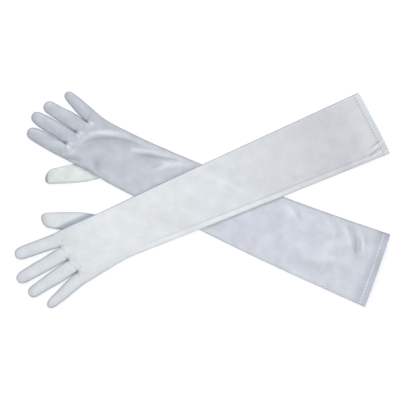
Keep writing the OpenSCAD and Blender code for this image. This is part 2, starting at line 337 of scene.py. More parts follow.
# %% Distances
def distance_to_line(points, line):
    """Distance of each point from a line of short pieces: the nearest corner is looked up first."""
    tree = KDTree(len(line))
    for k, (x, y) in enumerate(line.tolist()):
        tree.insert((x, y, 0), k)
    tree.balance()
    find = tree.find
    corner = np.array([find((x, y, 0))[1] for x, y in points.tolist()], dtype=int)
    best = np.full(len(points), 1e9)
    for shift in (-1, 0):
        k = np.clip(corner + shift, 0, len(line) - 2)
        a = line[k]
        run = line[k + 1] - a
        share = ((points - a) * run).sum(axis=1) / (run ** 2).sum(axis=1)
        gap = points - (a + np.clip(share, 0, 1)[:, None] * run)
        best = np.minimum(best, np.sqrt((gap ** 2).sum(axis=1)))
    return best


def inside(points, loop):
    """Which points lie inside a closed loop: each edge is met only by the points beside it."""
    order = np.argsort(points[:, 1])
    x, y = points[order, 0], points[order, 1]
    a, b = loop, np.roll(loop, -1, axis=0)
    low = np.searchsorted(y, np.minimum(a[:, 1], b[:, 1]))
    high = np.searchsorted(y, np.maximum(a[:, 1], b[:, 1]))
    crossed = np.zeros(len(points), bool)
    for (ax, ay), (bx, by), i, j in zip(a, b, low, high):
        if i < j:
            at = ax + (y[i:j] - ay) * (bx - ax) / (by - ay)
            crossed[i:j] ^= x[i:j] < at
    within = np.empty(len(points), bool)
    within[order] = crossed
    return within


def ease(t):
    k = np.clip(t, 0, 1)
    return k * k * (3 - 2 * k)


# %% [markdown]
# ## How full the cloth is
# The two layers lie almost on each other along the arm, stand a little apart in the hand and
# the fingers, and gape at the cuff. A fold's edge is a small half round, and behind it the
# cloth rises slowly. The tables hold a place along the glove, counted from the wrist towards
# the cuff, and the height there, both in millimetres.

# %% Heights of the two layers
FULL_AT = [-175, -100, -70, -30, 0, 50, 215, 300, 360, 391]
FULLNESS = [7.2, 7.2, 7.7, 7.2, 6.2, 5.0, 5.0, 5.6, 7.2, 8.6]
EDGE_HEIGHT = 1.8 * mm
FOLD_RADIUS = 2.3 * mm
CLOTH = 0.5 * mm
# Places along the arm, in millimetres from the wrist, where the sleeve's width is taken
WIDTHS_AT = (20, 80, 140, 200, 250, 290, 340, 378)


def place_along(glove, points):
    """Distance from the wrist, towards the cuff, and sideways place, towards the thumb side."""
    rel = points - glove.wrist
    arm = rel @ glove.to_cuff
    hand = rel @ glove.to_hand
    arm_side = -quarter_turn(glove.to_cuff) * glove.thumb_sign
    hand_side = glove.to_thumb_side
    on_arm = arm > 0
    along = np.where(on_arm, arm, -hand)
    across = np.where(on_arm, rel @ arm_side, rel @ hand_side)
    return along, across


def fold_round(d):
    q = np.clip(d / FOLD_RADIUS, 0, 1)
    return np.sqrt(1 - (1 - q) ** 2)


def arm_half_width(glove):
    """Half the sleeve's width at a few places along the arm."""
    at, half = [], []
    for spot in WIDTHS_AT:
        low, high = arm_slice(glove, spot * mm)
        at.append(spot * mm)
        half.append((high - low) / 2)
    return np.array(at), np.array(half)


def layer_heights(glove, points, d):
    """Heights of the back and the palm above what the glove lies on."""
    along, _ = place_along(glove, points)
    full = np.interp(along / mm, FULL_AT, FULLNESS) * mm
    at, half = arm_half_width(glove)
    half = np.interp(along, at, half)
    hand_rise = 1 - np.exp(-d / (8 * mm))
    arm_rise = 1 - np.abs(1 - np.clip(d / half, 0, 1)) ** 2.4
    on_arm = ease((along + 20 * mm) / (60 * mm))
    rise = hand_rise * (1 - on_arm) + arm_rise * on_arm
    back = EDGE_HEIGHT + (full - EDGE_HEIGHT) * (0.45 * fold_round(d) + 0.55 * rise)
    palm = EDGE_HEIGHT * (1 - fold_round(d))
    return back, palm


# %% [markdown]
# ## Folds and the cloth's own unevenness
# Satin shows every small fold as a streak of light. The larger folds are listed one by one:
# each is a curve with a width and a height, and it fades out at both ends. Its places are shares of
# the glove's own sizes: in the sleeve the distance from the wrist to the elbow, in the hand the
# length of the palm, and sideways half the width of the wrist, towards the thumb's side. Between
# the folds the cloth is never quite flat, so long, low waves with fixed seeds are added.

# %% Folds
# Each fold: part of the glove, its start, the place that it bends towards, its end, width, height
FOLDS = {
    "right": [
        ("arm", (-0.27, 0.45), (-0.25, -1.0), (0.2, -0.85), 4.6, 2.7),
        ("arm", (-0.23, 0.1), (-0.17, -0.6), (0.1, -0.75), 5.6, -1.5),
        ("hand", (1.0, 0.9), (0.9, 0.75), (0.75, 0.45), 4.6, 3.0),
        ("hand", (0.9, 0.95), (0.8, 0.85), (0.65, 0.65), 4.5, -1.9),
        ("hand", (0.45, 0.4), (0.35, 0.5), (0.25, 0.75), 7, -1.6),
        ("hand", (0.55, 0.85), (0.45, 0.7), (0.35, 0.85), 5, 0.9),
        ("arm", (0.0, -0.35), (0.08, -0.65), (0.27, -0.85), 3.6, 2.3),
        ("arm", (0.03, -0.3), (0.15, -0.5), (0.3, -0.85), 3.4, -1.8),
        ("arm", (0.15, 0.15), (0.2, -0.5), (0.35, -0.85), 4.2, 1.8),
        ("arm", (0.15, -0.1), (0.17, -0.3), (0.2, -0.4), 4, -1.2),
        ("arm", (0.22, 0.15), (0.28, -0.2), (0.35, -0.5), 5, -0.9),
        ("arm", (0.87, -0.95), (0.93, -0.8), (1.0, -0.4), 5, 1.5),
        ("arm", (1.08, -1.1), (1.15, -0.9), (1.2, -0.5), 5.5, 1.6),
        ("arm", (1.2, -1.1), (1.25, -0.85), (1.3, -0.35), 5, 1.4),
        ("arm", (1.28, -1.05), (1.32, -0.6), (1.34, -0.2), 4, -1.6),
        ("arm", (1.32, -1.0), (1.35, -0.6), (1.37, -0.25), 4.5, 1.2),
        ("arm", (1.05, 0.75), (1.2, 0.35), (1.3, 0.05), 7, 0.9),
        ("arm", (1.1, 0.9), (1.22, 0.6), (1.33, 0.3), 7, -0.6),
    ],
    "left": [
        ("arm", (1.47, -0.85), (1.43, -0.9), (1.37, -1.0), 2.2, 1.5),
        ("arm", (1.47, -0.7), (1.45, -0.75), (1.4, -0.85), 1.8, -1.3),
        ("arm", (1.45, -0.95), (1.42, -1.0), (1.38, -1.1), 1.6, -1.2),
        ("arm", (1.47, -1.05), (1.44, -1.1), (1.4, -1.15), 1.8, 1.0),
        ("arm", (0.48, 1.2), (0.65, 0.0), (0.72, -0.85), 7, 1.9),
        ("arm", (1.24, 0.3), (1.3, -0.1), (1.32, -0.55), 7, 0.5),
        ("arm", (1.13, 0.65), (1.2, 0.2), (1.25, -0.35), 8, -0.5),
        ("arm", (0.83, -0.65), (1.0, -0.85), (1.13, -0.9), 4, -0.6),
        ("arm", (0.08, 0.3), (0.23, 0.6), (0.4, 0.3), 10, 0.5),
        ("hand", (0.7, 0.6), (0.4, 0.2), (0.15, 0.15), 9, 0.4),
    ],
}
FOLD_POINTS = 24


def fold_line(glove, part, start, bend, end):
    """A curve from start to end that bends towards the place between them."""
    along, side, length = glove.to_hand, glove.to_thumb_side, glove.palm_length
    if part == "arm":
        along, length = glove.to_cuff, glove.elbow_at
        side = -quarter_turn(along) * glove.thumb_sign
    first, pull, last = (
        glove.wrist + along * (u * length) + side * (v * glove.half_wrist) for u, v in (start, bend, end)
    )
    t = np.linspace(0, 1, FOLD_POINTS)[:, None]
    return first * (1 - t) ** 2 + pull * (2 * t * (1 - t)) + last * t ** 2


def add_fold(heights, points, line, width, height):
    """Raises the heights along a line, most in its middle and not at its ends."""
    a, b = line[:-1], line[1:]
    run = b - a
    length = (run ** 2).sum(axis=1)
    near = np.abs(points - line.mean(axis=0)).max(axis=1) < 0.5 * np.ptp(line, axis=0).max() + 4 * width
    p = points[near]
    if len(p) == 0:
        return
    share = np.clip(((p[:, None] - a) * run).sum(axis=2) / length, 0, 1)
    gap = np.sqrt(((p[:, None] - (a + share[..., None] * run)) ** 2).sum(axis=2))
    closest = gap.argmin(axis=1)
    rows = np.arange(len(p))
    part = (closest + share[rows, closest]) / len(a)
    fade = np.sin(math.pi * np.clip(part, 0.02, 0.98)) ** 0.7
    heights[near] += height * fade * np.exp(-(gap[rows, closest] / width) ** 2)


def unevenness(glove, points, seed, shortest=14 * mm, longest=55 * mm, count=40):
    """Low waves with fixed seeds, longer along the glove than across it."""
    rng = np.random.default_rng(seed)
    along = (points - glove.wrist) @ glove.to_cuff
    across = (points - glove.wrist) @ quarter_turn(glove.to_cuff)
    total = np.zeros(len(points))
    for _ in range(count):
        wave = rng.uniform(shortest, longest)
        turn = rng.normal(math.pi / 2, 0.8)
        shift = rng.uniform(0, 2 * math.pi)
        k = 2 * math.pi / wave
        phase = k * (0.55 * along * math.cos(turn) + across * math.sin(turn)) + shift
        total += np.sin(phase) * wave
    return total / (count * (shortest + longest) / 2)


# %% [markdown]
# ## What each glove lies on
# The right glove lies on the surface. The left one lies across it, so its cloth climbs over the
# sleeve below and comes down on both sides. Each hand also lies on the root of its own thumb.
# This is solved on a grid: again and again each point becomes the mean of its neighbours, less
# a little for weight, but never lower than what is under it.

# %% Support grid
GRID = 2.5 * mm
grid_x = np.arange(cad_low[0] - 0.02, cad_high[0] + 0.02, GRID)
grid_y = np.arange(cad_low[1] - 0.02, cad_high[1] + 0.02, GRID)
grid_points = np.stack(np.meshgrid(grid_x, grid_y, indexing="ij"), axis=-1).reshape(-1, 2)
grid_shape = (len(grid_x), len(grid_y))


def sample_grid(grid, points):
    gx = np.clip((points[:, 0] - grid_x[0]) / GRID, 0, len(grid_x) - 1.001)
    gy = np.clip((points[:, 1] - grid_y[0]) / GRID, 0, len(grid_y) - 1.001)
    i, j = gx.astype(int), gy.astype(int)
    fx, fy = gx - i, gy - j
    low = grid[i, j] * (1 - fy) + grid[i, j + 1] * fy
    high = grid[i + 1, j] * (1 - fy) + grid[i + 1, j + 1] * fy
    return low * (1 - fx) + high * fx


def neighbour_mean(grid):
    padded = np.pad(grid, 1, mode="edge")
    return (padded[:-2, 1:-1] + padded[2:, 1:-1] + padded[1:-1, :-2] + padded[1:-1, 2:]) / 4


def lie_on(support, sag, rounds):
    """The lowest smooth sheet over a support, with a little weight."""
    sheet = support.copy()
    for _ in range(rounds):
        sheet = np.maximum(support, neighbour_mean(sheet) - sag)
    for _ in range(6):
        sheet = np.maximum(support, neighbour_mean(sheet))
    return sheet


# %% [markdown]
# ## The flat pattern
# Each glove's plan is cut into small triangles: close together along the edges, where the cloth
# turns, and near the cuff, where the stitches pull it. Lines that a piece will be cut along are
# forced into the pattern: the finger roots, the middle of the forearm and the edge of the hem.

# %% Pattern of triangles
RINGS = [0.45 * mm, 1.1 * mm, 2.0 * mm, 3.1 * mm]
WIDE_STEP = 2.0 * mm
FINE_STEP = 1.15 * mm
FINE_DEPTH = 15 * mm
HEM_DEPTH = 10 * mm
SPLIT_AT = 205 * mm


def line_between(a, b, step):
    count = max(2, int(round(np.linalg.norm(b - a) / step)))
    return a + (b - a) * np.linspace(0, 1, count + 1)[:, None]


def nearest(points, spot):
    return int(np.linalg.norm(points - spot, axis=1).argmin())


def offset_ring(line, depth, loop):
    """Points a little inside the outline, where no other part of it is nearer."""
    normal = across_line(line)
    trial = line + normal * depth
    if inside(trial, loop).mean() < 0.5:
        trial = line - normal * depth
    clear = distance_to_line(trial, line) > 0.85 * depth
    return trial[clear & inside(trial, loop)]


def hex_points(low, high, step):
    rows = np.arange(low[1], high[1], step * 0.866)
    spots = []
    for k, y in enumerate(rows):
        x = np.arange(low[0] + (k % 2) * step / 2, high[0], step)
        spots.append(np.stack([x, np.full(len(x), y)], axis=1))
    return np.vstack(spots)


def triangulate(loop, cuts, free):
    """Triangles inside a loop, with every cut line in them. Says which input each point was."""
    points = [loop]
    edges = [(i, (i + 1) % len(loop)) for i in range(len(loop))]
    count = len(loop)
    for line in cuts:
        first = nearest(loop, line[0])
        last = nearest(loop, line[-1])
        inner = line[1:-1]
        chain = [first] + list(range(count, count + len(inner))) + [last]
        edges += list(zip(chain[:-1], chain[1:]))
        points.append(inner)
        count += len(inner)
    points.append(free)
    flat = [Vector(p / mm) for p in np.vstack(points)]
    made = delaunay_2d_cdt(flat, edges, [], 0, 1e-5)
    spots = np.array([v[:] for v in made[0]]) * mm
    triangles = np.array([f for f in made[2] if len(f) == 3])
    a, b, c = (spots[triangles[:, k]] for k in range(3))
    turn = (b - a)[:, 0] * (c - a)[:, 1] - (b - a)[:, 1] * (c - a)[:, 0]
    triangles[turn < 0] = triangles[turn < 0][:, ::-1]
    middles = spots[triangles].mean(axis=1)
    triangles = triangles[inside(middles, loop) & (np.abs(turn) > 1e-12)]
    source = np.array([o[0] if o else -1 for o in made[3]])
    return spots, triangles, source


class Pattern:
    """A plan cut into triangles, with the loop's shared edge points marked."""

    def __init__(self, outline, mouth=None, cuts=()):
        loop = outline if mouth is None else np.vstack([outline, mouth[1:-1]])
        free = [offset_ring(outline, depth, loop) for depth in RINGS]
        low, high = loop.min(axis=0), loop.max(axis=0)
        wide = hex_points(low, high, WIDE_STEP)
        wide = wide[inside(wide, loop)]
        wide = wide[distance_to_line(wide, outline) > RINGS[-1] + 0.6 * WIDE_STEP]
        if mouth is not None:
            wide = wide[distance_to_line(wide, mouth) > FINE_DEPTH]
            fine = hex_points(mouth.min(axis=0) - FINE_DEPTH, mouth.max(axis=0) + FINE_DEPTH, FINE_STEP)
            fine = fine[inside(fine, loop)]
            to_mouth = distance_to_line(fine, mouth)
            fine = fine[(to_mouth < FINE_DEPTH - 0.5 * mm) & (to_mouth > 0.6 * FINE_STEP)]
            fine = fine[distance_to_line(fine, outline) > RINGS[-1] + 0.6 * FINE_STEP]
            free = [ring[distance_to_line(ring, mouth) > 0.4 * mm] for ring in free] + [fine]
        free = np.vstack(free + [wide])
        for line in cuts:
            free = free[distance_to_line(free, line) > 0.45 * mm]
        self.points, self.triangles, source = triangulate(loop, cuts, free)
        self.shared = (source >= 0) & (source < len(outline))


def root_cuts(side):
    """Straight cuts across the roots of the four fingers, as places on the outline."""
    glove = gloves[side]
    outline = outlines[side]
    places = []
    for name, which in (("little", 0), ("index", 1)):
        start, along = glove.finger(name)
        pair = corners_of(f"{side}_{name}_back", start, along, ROOT_AT, glove.thumb_sign)
        places.append(nearest(outline, pair[which]))
    forks_at = [nearest(outline, spot) for spot in forks[side]]
    return [places[0]] + forks_at + [places[1]]


def snapped_line(outline, ends, step):
    """A straight line between the two outline points nearest to its ends."""
    first, last = (outline[nearest(outline, end)] for end in ends)
    return line_between(first, last, step)


patterns, roots, mouths, split_lines, hem_lines = {}, {}, {}, {}, {}
for side, glove in gloves.items():
    outline = outlines[side]
    mouths[side] = line_between(outline[-1], outline[0], EDGE_STEP)
    roots[side] = root_cuts(side)
    pairs = zip(roots[side][:-1], roots[side][1:])
    cuts = [line_between(outline[i], outline[j], 1.5 * mm) for i, j in pairs]
    across = quarter_turn(glove.to_cuff)
    ends = [glove.wrist + glove.to_cuff * SPLIT_AT + across * w for w in arm_slice(glove, SPLIT_AT)]
    split_lines[side] = snapped_line(outline, ends, WIDE_STEP)
    run = unit(outline[0] - outline[-1])
    back_off = HEM_DEPTH / abs(quarter_turn(run) @ glove.to_cuff)
    ends = [outline[-1] - glove.to_cuff * back_off, outline[0] - glove.to_cuff * back_off]
    hem_lines[side] = snapped_line(outline, ends, EDGE_STEP)
    cuts += [split_lines[side], hem_lines[side]]
    patterns[side] = Pattern(outline, mouths[side], cuts)
    print(side, "pattern triangles", len(patterns[side].triangles))

# %% [markdown]
# ## The thumbs
# A thumb is a tube of its own. It is sewn into the palm, so its root lies flat under the hand,
# and it opens to its full height where it comes clear of the hand's edge.

# %% Outlines of the thumbs
ROOT_HEIGHT = 3.0 * mm
THUMB_HEIGHT = 6.4 * mm
THUMB_RISE = 18 * mm
THUMB_SKEW = {"left": -0.25, "right": 0.3}
# The share of the thumb's length that its round end takes up
THUMB_CAP = 0.18


class Thumb:
    """The thumb's own line: its root, its heading and its length, from the CAD piece's plan."""

    def __init__(self, side):
        spots, _ = plan_edges(side + "_thumb_back")
        middle = (spots.min(axis=0) + spots.max(axis=0)) / 2
        centred = spots - spots.mean(axis=0)
        heading = np.linalg.svd(centred, full_matrices=False)[2][0]
        swing = place_of(side + "_thumb_swing")
        if heading @ (middle - swing) < 0:
            heading = -heading
        across = quarter_turn(heading)
        sideways = (spots - swing) @ across
        self.root = swing + across * (sideways.min() + sideways.max()) / 2
        self.root += heading * ((spots - self.root) @ heading).min()
        self.heading = heading
        self.length = reach_of(side + "_thumb_back", self.root, heading)
        low, high = [], []
        for share in np.linspace(0.01, 0.82, 12):
            lo, hi = slice_limits(side + "_thumb_back", self.root, heading, self.length * share)
            low.append(self.root + heading * self.length * share + across * lo)
            high.append(self.root + heading * self.length * share + across * hi)
        cap = heading * self.length * THUMB_CAP
        tip = round_end(low[-1], high[-1], cap, 17, 0.9, 0.75, THUMB_SKEW[side])
        loop = resample(np.array(low + tip + high[::-1]), EDGE_STEP)
        for _ in range(3):
            loop = (np.roll(loop, 1, axis=0) + 2 * loop + np.roll(loop, -1, axis=0)) / 4
        self.outline = loop
        covered = inside(loop, outlines[side])
        self.cover = ((loop[covered] - self.root) @ heading).max()

    def heights(self, points, d):
        x = (points - self.root) @ self.heading
        full = ROOT_HEIGHT + (THUMB_HEIGHT - ROOT_HEIGHT) * ease((x - self.cover - 1 * mm) / THUMB_RISE)
        edge = np.minimum(EDGE_HEIGHT, full * 0.45)
        back = edge + (full - edge) * (0.5 * fold_round(d) + 0.5 * (1 - np.exp(-d / (5 * mm))))
        return back, edge * (1 - fold_round(d))


thumbs = {side: Thumb(side) for side in SIDES}
for side, thumb in thumbs.items():
    print(side, "thumb length", round(thumb.length / mm, 1), "covered", round(thumb.cover / mm, 1))

# %% [markdown]
# ## The whole surface
# One function gives the top and the bottom of a glove above what it lies on: the plain fullness,
# the folds, the seams and the hem. The grid uses it to find what the left glove lies on, and the
# pattern uses it again, so both agree.

# %% Seams, hem and puckers
SIDE_SEAM = {"left": (8.3 * mm, 0.42 * mm), "right": (8.3 * mm, 0.14 * mm)}
HEM_STITCH_AT = 8.5 * mm
STITCH_PITCH = 5 * mm
SEAM_STARTS, SEAM_GROWS = 10 * mm, 60 * mm
FORK_RAYS = 5
SEEDS = {"left": 23, "right": 11}
THUMB_SEED = 31
SIDE_SHOWS = {"left": 0.75, "right": 0.12}
FINGER_SEAM = {"left": 0.8, "right": 0.35}
UNEVEN = {"left": 0.24 * mm, "right": 0.36 * mm}
# Shorter waves on the fingers
FINGER_WAVES = (6 * mm, 17 * mm)
FINGER_UNEVEN = {"left": 0.1 * mm, "right": 0.55 * mm}
SOFT_EDGE = {"left": 7 * mm, "right": 5 * mm}
# Painted light on fold ridges and painted shade in fold hollows, as a ridge of satin catches more light
# than the hollow beside it
RELIEF_PAINTED_LIGHT = {"left": 0.12, "right": 0.23}
PUCKER = {"left": 0.4 * mm, "right": 0.8 * mm}


def groove(distance, width):
    return np.exp(-(distance / width) ** 2)


def little_side_line(side):
    """The outline's part along the sleeve, on the little finger's side."""
    glove = gloves[side]
    outline = outlines[side]
    along = (outline - glove.wrist) @ glove.to_cuff
    first_low = int(np.argmax(along < 5 * mm))
    return outline[:first_low]


def up_the_sleeve(along):
    """0 at the wrist and 1 further up, where the side seam shows in full."""
    return ease((along - SEAM_STARTS) / SEAM_GROWS)


def round_fork(glove, fork, points):
    """Distance of each point from a fork, and its angle, which is 0 straight behind the fork."""
    rel = points - fork
    angle = np.arctan2(rel @ quarter_turn(glove.to_hand), -rel @ glove.to_hand)
    return np.linalg.norm(rel, axis=1), angle


def along_mouth(side, points):
    """Distance from the mouth, and a wave along it that peaks at each stitch."""
    mouth = mouths[side]
    place = (points - mouth[0]) @ unit(mouth[-1] - mouth[0])
    return distance_to_line(points, mouth), np.cos(2 * math.pi * place / STITCH_PITCH)


def seam_lines(side, points, d):
    """How strongly a sewn line shows at each point, from 0 to 1."""
    glove = gloves[side]
    along, _ = place_along(glove, points)
    seam_at, _ = SIDE_SEAM[side]
    to_side = distance_to_line(points, little_side_line(side))
    strength = groove(to_side - seam_at, 0.8 * mm) * up_the_sleeve(along) * SIDE_SHOWS[side]
    for i, name in enumerate(FINGERS):
        start, heading = glove.finger(name)
        x = (points - start) @ heading
        part = outlines[side][roots[side][i]:roots[side][i + 1]]
        near = distance_to_line(points, part)
        on_finger = ease((x - 1 * mm) / (4 * mm)) * (near < 4 * mm) * (near < d + 0.1 * mm)
        line = FINGER_SEAM[side] * groove(near - 2.3 * mm, 0.5 * mm) * on_finger
        strength = np.maximum(strength, line)
    return strength


def glove_surface(side, points):
    """Top and bottom above the base, and the marks for the tone: the sewn lines, with painted light on
    fold ridges and painted shade in fold hollows.
    """
    glove = gloves[side]
    d = distance_to_line(points, outlines[side])
    along, _ = place_along(glove, points)
    back, palm = layer_heights(glove, points, d)
    soft = ease(d / SOFT_EDGE[side])
    lift = unevenness(glove, points, SEEDS[side]) * UNEVEN[side] * 3
    short_waves = unevenness(glove, points, SEEDS[side] + 1, *FINGER_WAVES)
    lift += short_waves * FINGER_UNEVEN[side] * 3 * ease((-along - 55 * mm) / (30 * mm))
    for part, start, bend, end, width, height in FOLDS[side]:
        add_fold(lift, points, fold_line(glove, part, start, bend, end), width * mm, height * mm)
    for k, fork in enumerate(forks[side]):
        r, angle = round_fork(glove, fork, points)
        ray = np.cos(FORK_RAYS * angle + k) * np.exp(-((r - 5 * mm) / (4 * mm)) ** 2)
        lift += PUCKER[side] * ray * (np.abs(angle) < 2)
    back = back + lift * soft
    relief = np.clip(lift / mm, -1.6, 1.8) * soft
    seam_at, seam_height = SIDE_SEAM[side]
    to_side = distance_to_line(points, little_side_line(side))
    beside_seam = 1 - ease((to_side - seam_at + 0.6 * mm) / (1.2 * mm))
    back += seam_height * up_the_sleeve(along) * soft * beside_seam
    seam_and_shade_marks = seam_lines(side, points, d)
    back -= 0.25 * mm * seam_and_shade_marks * soft ** 0.3
    to_mouth, wave = along_mouth(side, points)
    needle = 0.65 + 0.35 * wave
    hem = 0.3 * mm * (1 - ease((to_mouth - 9 * mm) / (1.6 * mm)))
    hem -= 0.42 * mm * groove(to_mouth - HEM_STITCH_AT, 0.75 * mm) * needle
    back += hem * ease(d / (3 * mm))
    palm = palm + 0.5 * (0.3 * mm - hem) * ease(d / (3 * mm)) * (to_mouth < 14 * mm)
    return back, palm, seam_and_shade_marks - RELIEF_PAINTED_LIGHT[side] * relief, d


# %% Heights on the grid
def on_grid(values, within):
    return np.where(within, values, 0).reshape(grid_shape)


THUMB_CLEAR = 0.35 * mm
LAYER_CLEAR = 0.35 * mm
SAG = 0.0128 * mm
SMOOTH_ROUNDS = 16


def thumb_support(side):
    thumb = thumbs[side]
    loop = np.vstack([thumb.outline, thumb.outline[:1]])
    back, _ = thumb.heights(grid_points, distance_to_line(grid_points, loop))
    within = inside(grid_points, thumb.outline)
    near_hand = inside(grid_points, outlines[side])
    limit = np.where(near_hand, back, np.minimum(back, ROOT_HEIGHT))
    return on_grid(limit + THUMB_CLEAR, within)


grid_inside = {side: inside(grid_points, outlines[side]) for side in SIDES}
overlap = (grid_inside["left"] & grid_inside["right"]).reshape(grid_shape).astype(float)
pressed = overlap.copy()
for _ in range(14):
    pressed = neighbour_mean(pressed)
print("crossing covers", round(float(overlap.sum()) * GRID * GRID * 1e4, 1), "square cm")


def press(points, back):
    """The lower glove is flatter where the other lies on it."""
    return back * (1 - 0.35 * sample_grid(pressed, points))


def glove_heights(side, points):
    """A glove's surface as it lies, with the lower glove pressed at the crossing."""
    back, palm, lines, d = glove_surface(side, points)
    if side == "right":
        back = press(points, back)
    return back, palm, lines, d


bases = {"right": lie_on(thumb_support("right"), SAG * 2, 120)}
right_back, _, _, _ = glove_heights("right", grid_points)
right_top = right_back + sample_grid(bases["right"], grid_points)
support = on_grid(right_top + LAYER_CLEAR, grid_inside["right"])
support = np.maximum(support, thumb_support("left"))
bases["left"] = lie_on(support, SAG, 400)
for _ in range(SMOOTH_ROUNDS):
    bases["left"] = neighbour_mean(bases["left"])
short = np.maximum(0, support - bases["left"])
for _ in range(SMOOTH_ROUNDS):
    short = np.maximum(short, neighbour_mean(short))
for _ in range(SMOOTH_ROUNDS // 2):
    short = neighbour_mean(short)
bases["left"] = bases["left"] + short
print("left glove climbs", round(float((bases["left"] * overlap).max()) / mm, 2), "mm")

# %% [markdown]
# ## From pattern to cloth
# The top and the bottom share only the outline, so a glove is one closed tube with an open
# mouth. Every piece is a part of that tube with the cloth's thickness added inwards. The pieces
# keep the whole tube's normals, so no step shows where one ends and the next begins.

# %% Skins
TEXTURE_UNIT = 100 * mm
# The cloth's tone at places along each glove, in millimetres from the wrist towards the cuff, with
# painted light and shade: one white satin drawn darker and lighter along each glove, and greyer and
# bluer on the lower one
PAINTED_TONES = {
    "left": [
        (-170, (0.70, 0.74, 0.77)), (0, (0.74, 0.77, 0.78)), (180, (0.68, 0.71, 0.74)),
        (330, (0.57, 0.58, 0.62)), (391, (0.66, 0.69, 0.71)),
    ],
    "right": [
        (-170, (0.50, 0.53, 0.59)), (0, (0.49, 0.52, 0.57)), (60, (0.55, 0.58, 0.63)),
        (200, (0.60, 0.62, 0.70)), (391, (0.62, 0.65, 0.71)),
    ],
}
# Painted shade along the folded edge: how dark it is on the hand, on the little-finger side and on the
# thumb side
EDGE_SHADE = {"left": (0.4, 0.1, 0.46), "right": (0.22, 0.42, 0.12)}
# Shade in white satin is a little blue, so the red in the tone is dimmed most
SHADE_TINT = np.array([1.12, 1.04, 0.82])
EDGE_WIDTH = 1.1 * mm
SEAM_SHADE = 0.4
# Painted highlight behind the forks, and painted light on the strip beside the side seam
FORK_HIGHLIGHT = {"left": 0.05, "right": 0.5}
STRIP_PAINTED_LIGHT = {"left": 0.3, "right": 0.0}


def painted_tone_along(side, along):
    stops = np.array([at for at, _ in PAINTED_TONES[side]])
    colours = np.array([tone for _, tone in PAINTED_TONES[side]])
    return np.column_stack([np.interp(along / mm, stops, colours[:, k]) for k in range(3)])


def edge_shade(side, points):
    along, across = place_along(gloves[side], points)
    on_hand, little, thumb = EDGE_SHADE[side]
    on_arm = ease((along + 60 * mm) / (40 * mm))
    return on_hand + (np.where(across < 0, little, thumb) - on_hand) * on_arm


def shaded(side, points, tone, d, seam_and_shade_marks):
    """Painted shade along the folded edge, and the marks: painted shade where they are above 0 and
    painted light where they are below 0.
    """
    at_edge = (edge_shade(side, points) * np.exp(-(d / EDGE_WIDTH) ** 2))[:, None]
    at_painted_marks = (SEAM_SHADE * np.clip(seam_and_shade_marks, -0.7, 1.5))[:, None]
    return tone * (1 - at_edge * SHADE_TINT) * (1 - at_painted_marks * SHADE_TINT)


def fork_crease_shade(side, points):
    """Painted shade in short creases in the cloth round each fork."""
    glove = gloves[side]
    marks = np.zeros(len(points))
    for k, fork in enumerate(forks[side]):
        r, angle = round_fork(glove, fork, points)
        ring = np.exp(-((r - 2.6 * mm) / (1.5 * mm)) ** 2)
        marks = np.maximum(marks, ring * (0.5 - 0.5 * np.cos(FORK_RAYS * angle + k)))
    return marks


def fork_highlights(side, points):
    """Painted highlight on the stretched cloth just behind each fork."""
    lights = np.zeros(len(points))
    for fork in forks[side]:
        behind = fork - gloves[side].to_hand * 6 * mm
        lights += np.exp(-(np.linalg.norm(points - behind, axis=1) / (4 * mm)) ** 2)
    return FORK_HIGHLIGHT[side] / SEAM_SHADE * lights


def hem_marks(side, points):
    """Painted shade in the needle dips along the left hem, and lighter dashes at the stitches on a darker
    band along the right one.
    """
    to_mouth, wave = along_mouth(side, points)
    dash = (0.5 + 0.5 * wave) * groove(to_mouth - HEM_STITCH_AT, 0.85 * mm)
    if side == "left":
        return dash
    return 0.42 * (1 - ease((to_mouth - 10 * mm) / (14 * mm))) - 0.95 * dash


def seam_strip_painted_light(side, points):
    """Painted light on the strip between the side seam and the edge."""
    along, _ = place_along(gloves[side], points)
    to_side = distance_to_line(points, little_side_line(side))
    strip = 1 - ease((to_side - SIDE_SEAM[side][0] + 1 * mm) / (2 * mm))
    return STRIP_PAINTED_LIGHT[side] * strip * up_the_sleeve(along)


class Skin:
    """The outer surface of a tube: points, triangles, normals, texture places and the tone, with its
    painted light and shade.
    """

    def __init__(self, glove, pattern, top, bottom, tone):
        flat = pattern.points
        count = len(flat)
        own = np.where(~pattern.shared)[0]
        under = np.arange(count)
        under[own] = count + np.arange(len(own))
        self.points = np.vstack([
            np.column_stack([flat, top]),
            np.column_stack([flat[own], bottom[own]]),
        ])
        self.triangles = np.vstack([pattern.triangles, under[pattern.triangles][:, ::-1]])
        middles = flat[pattern.triangles].mean(axis=1)
        self.middles = np.vstack([middles, middles])
        a, b, c = (self.points[self.triangles[:, k]] for k in range(3))
        faces = np.cross(b - a, c - a)
        normals = np.zeros_like(self.points)
        for k in range(3):
            np.add.at(normals, self.triangles[:, k], faces)
        self.normals = normals / np.linalg.norm(normals, axis=1)[:, None]
        both = np.concatenate([np.arange(count), own])
        along, across = place_along(glove, flat)
        self.texture = np.column_stack([across, along])[both] / TEXTURE_UNIT
        self.tone = np.column_stack([tone, np.ones(count)])[both]


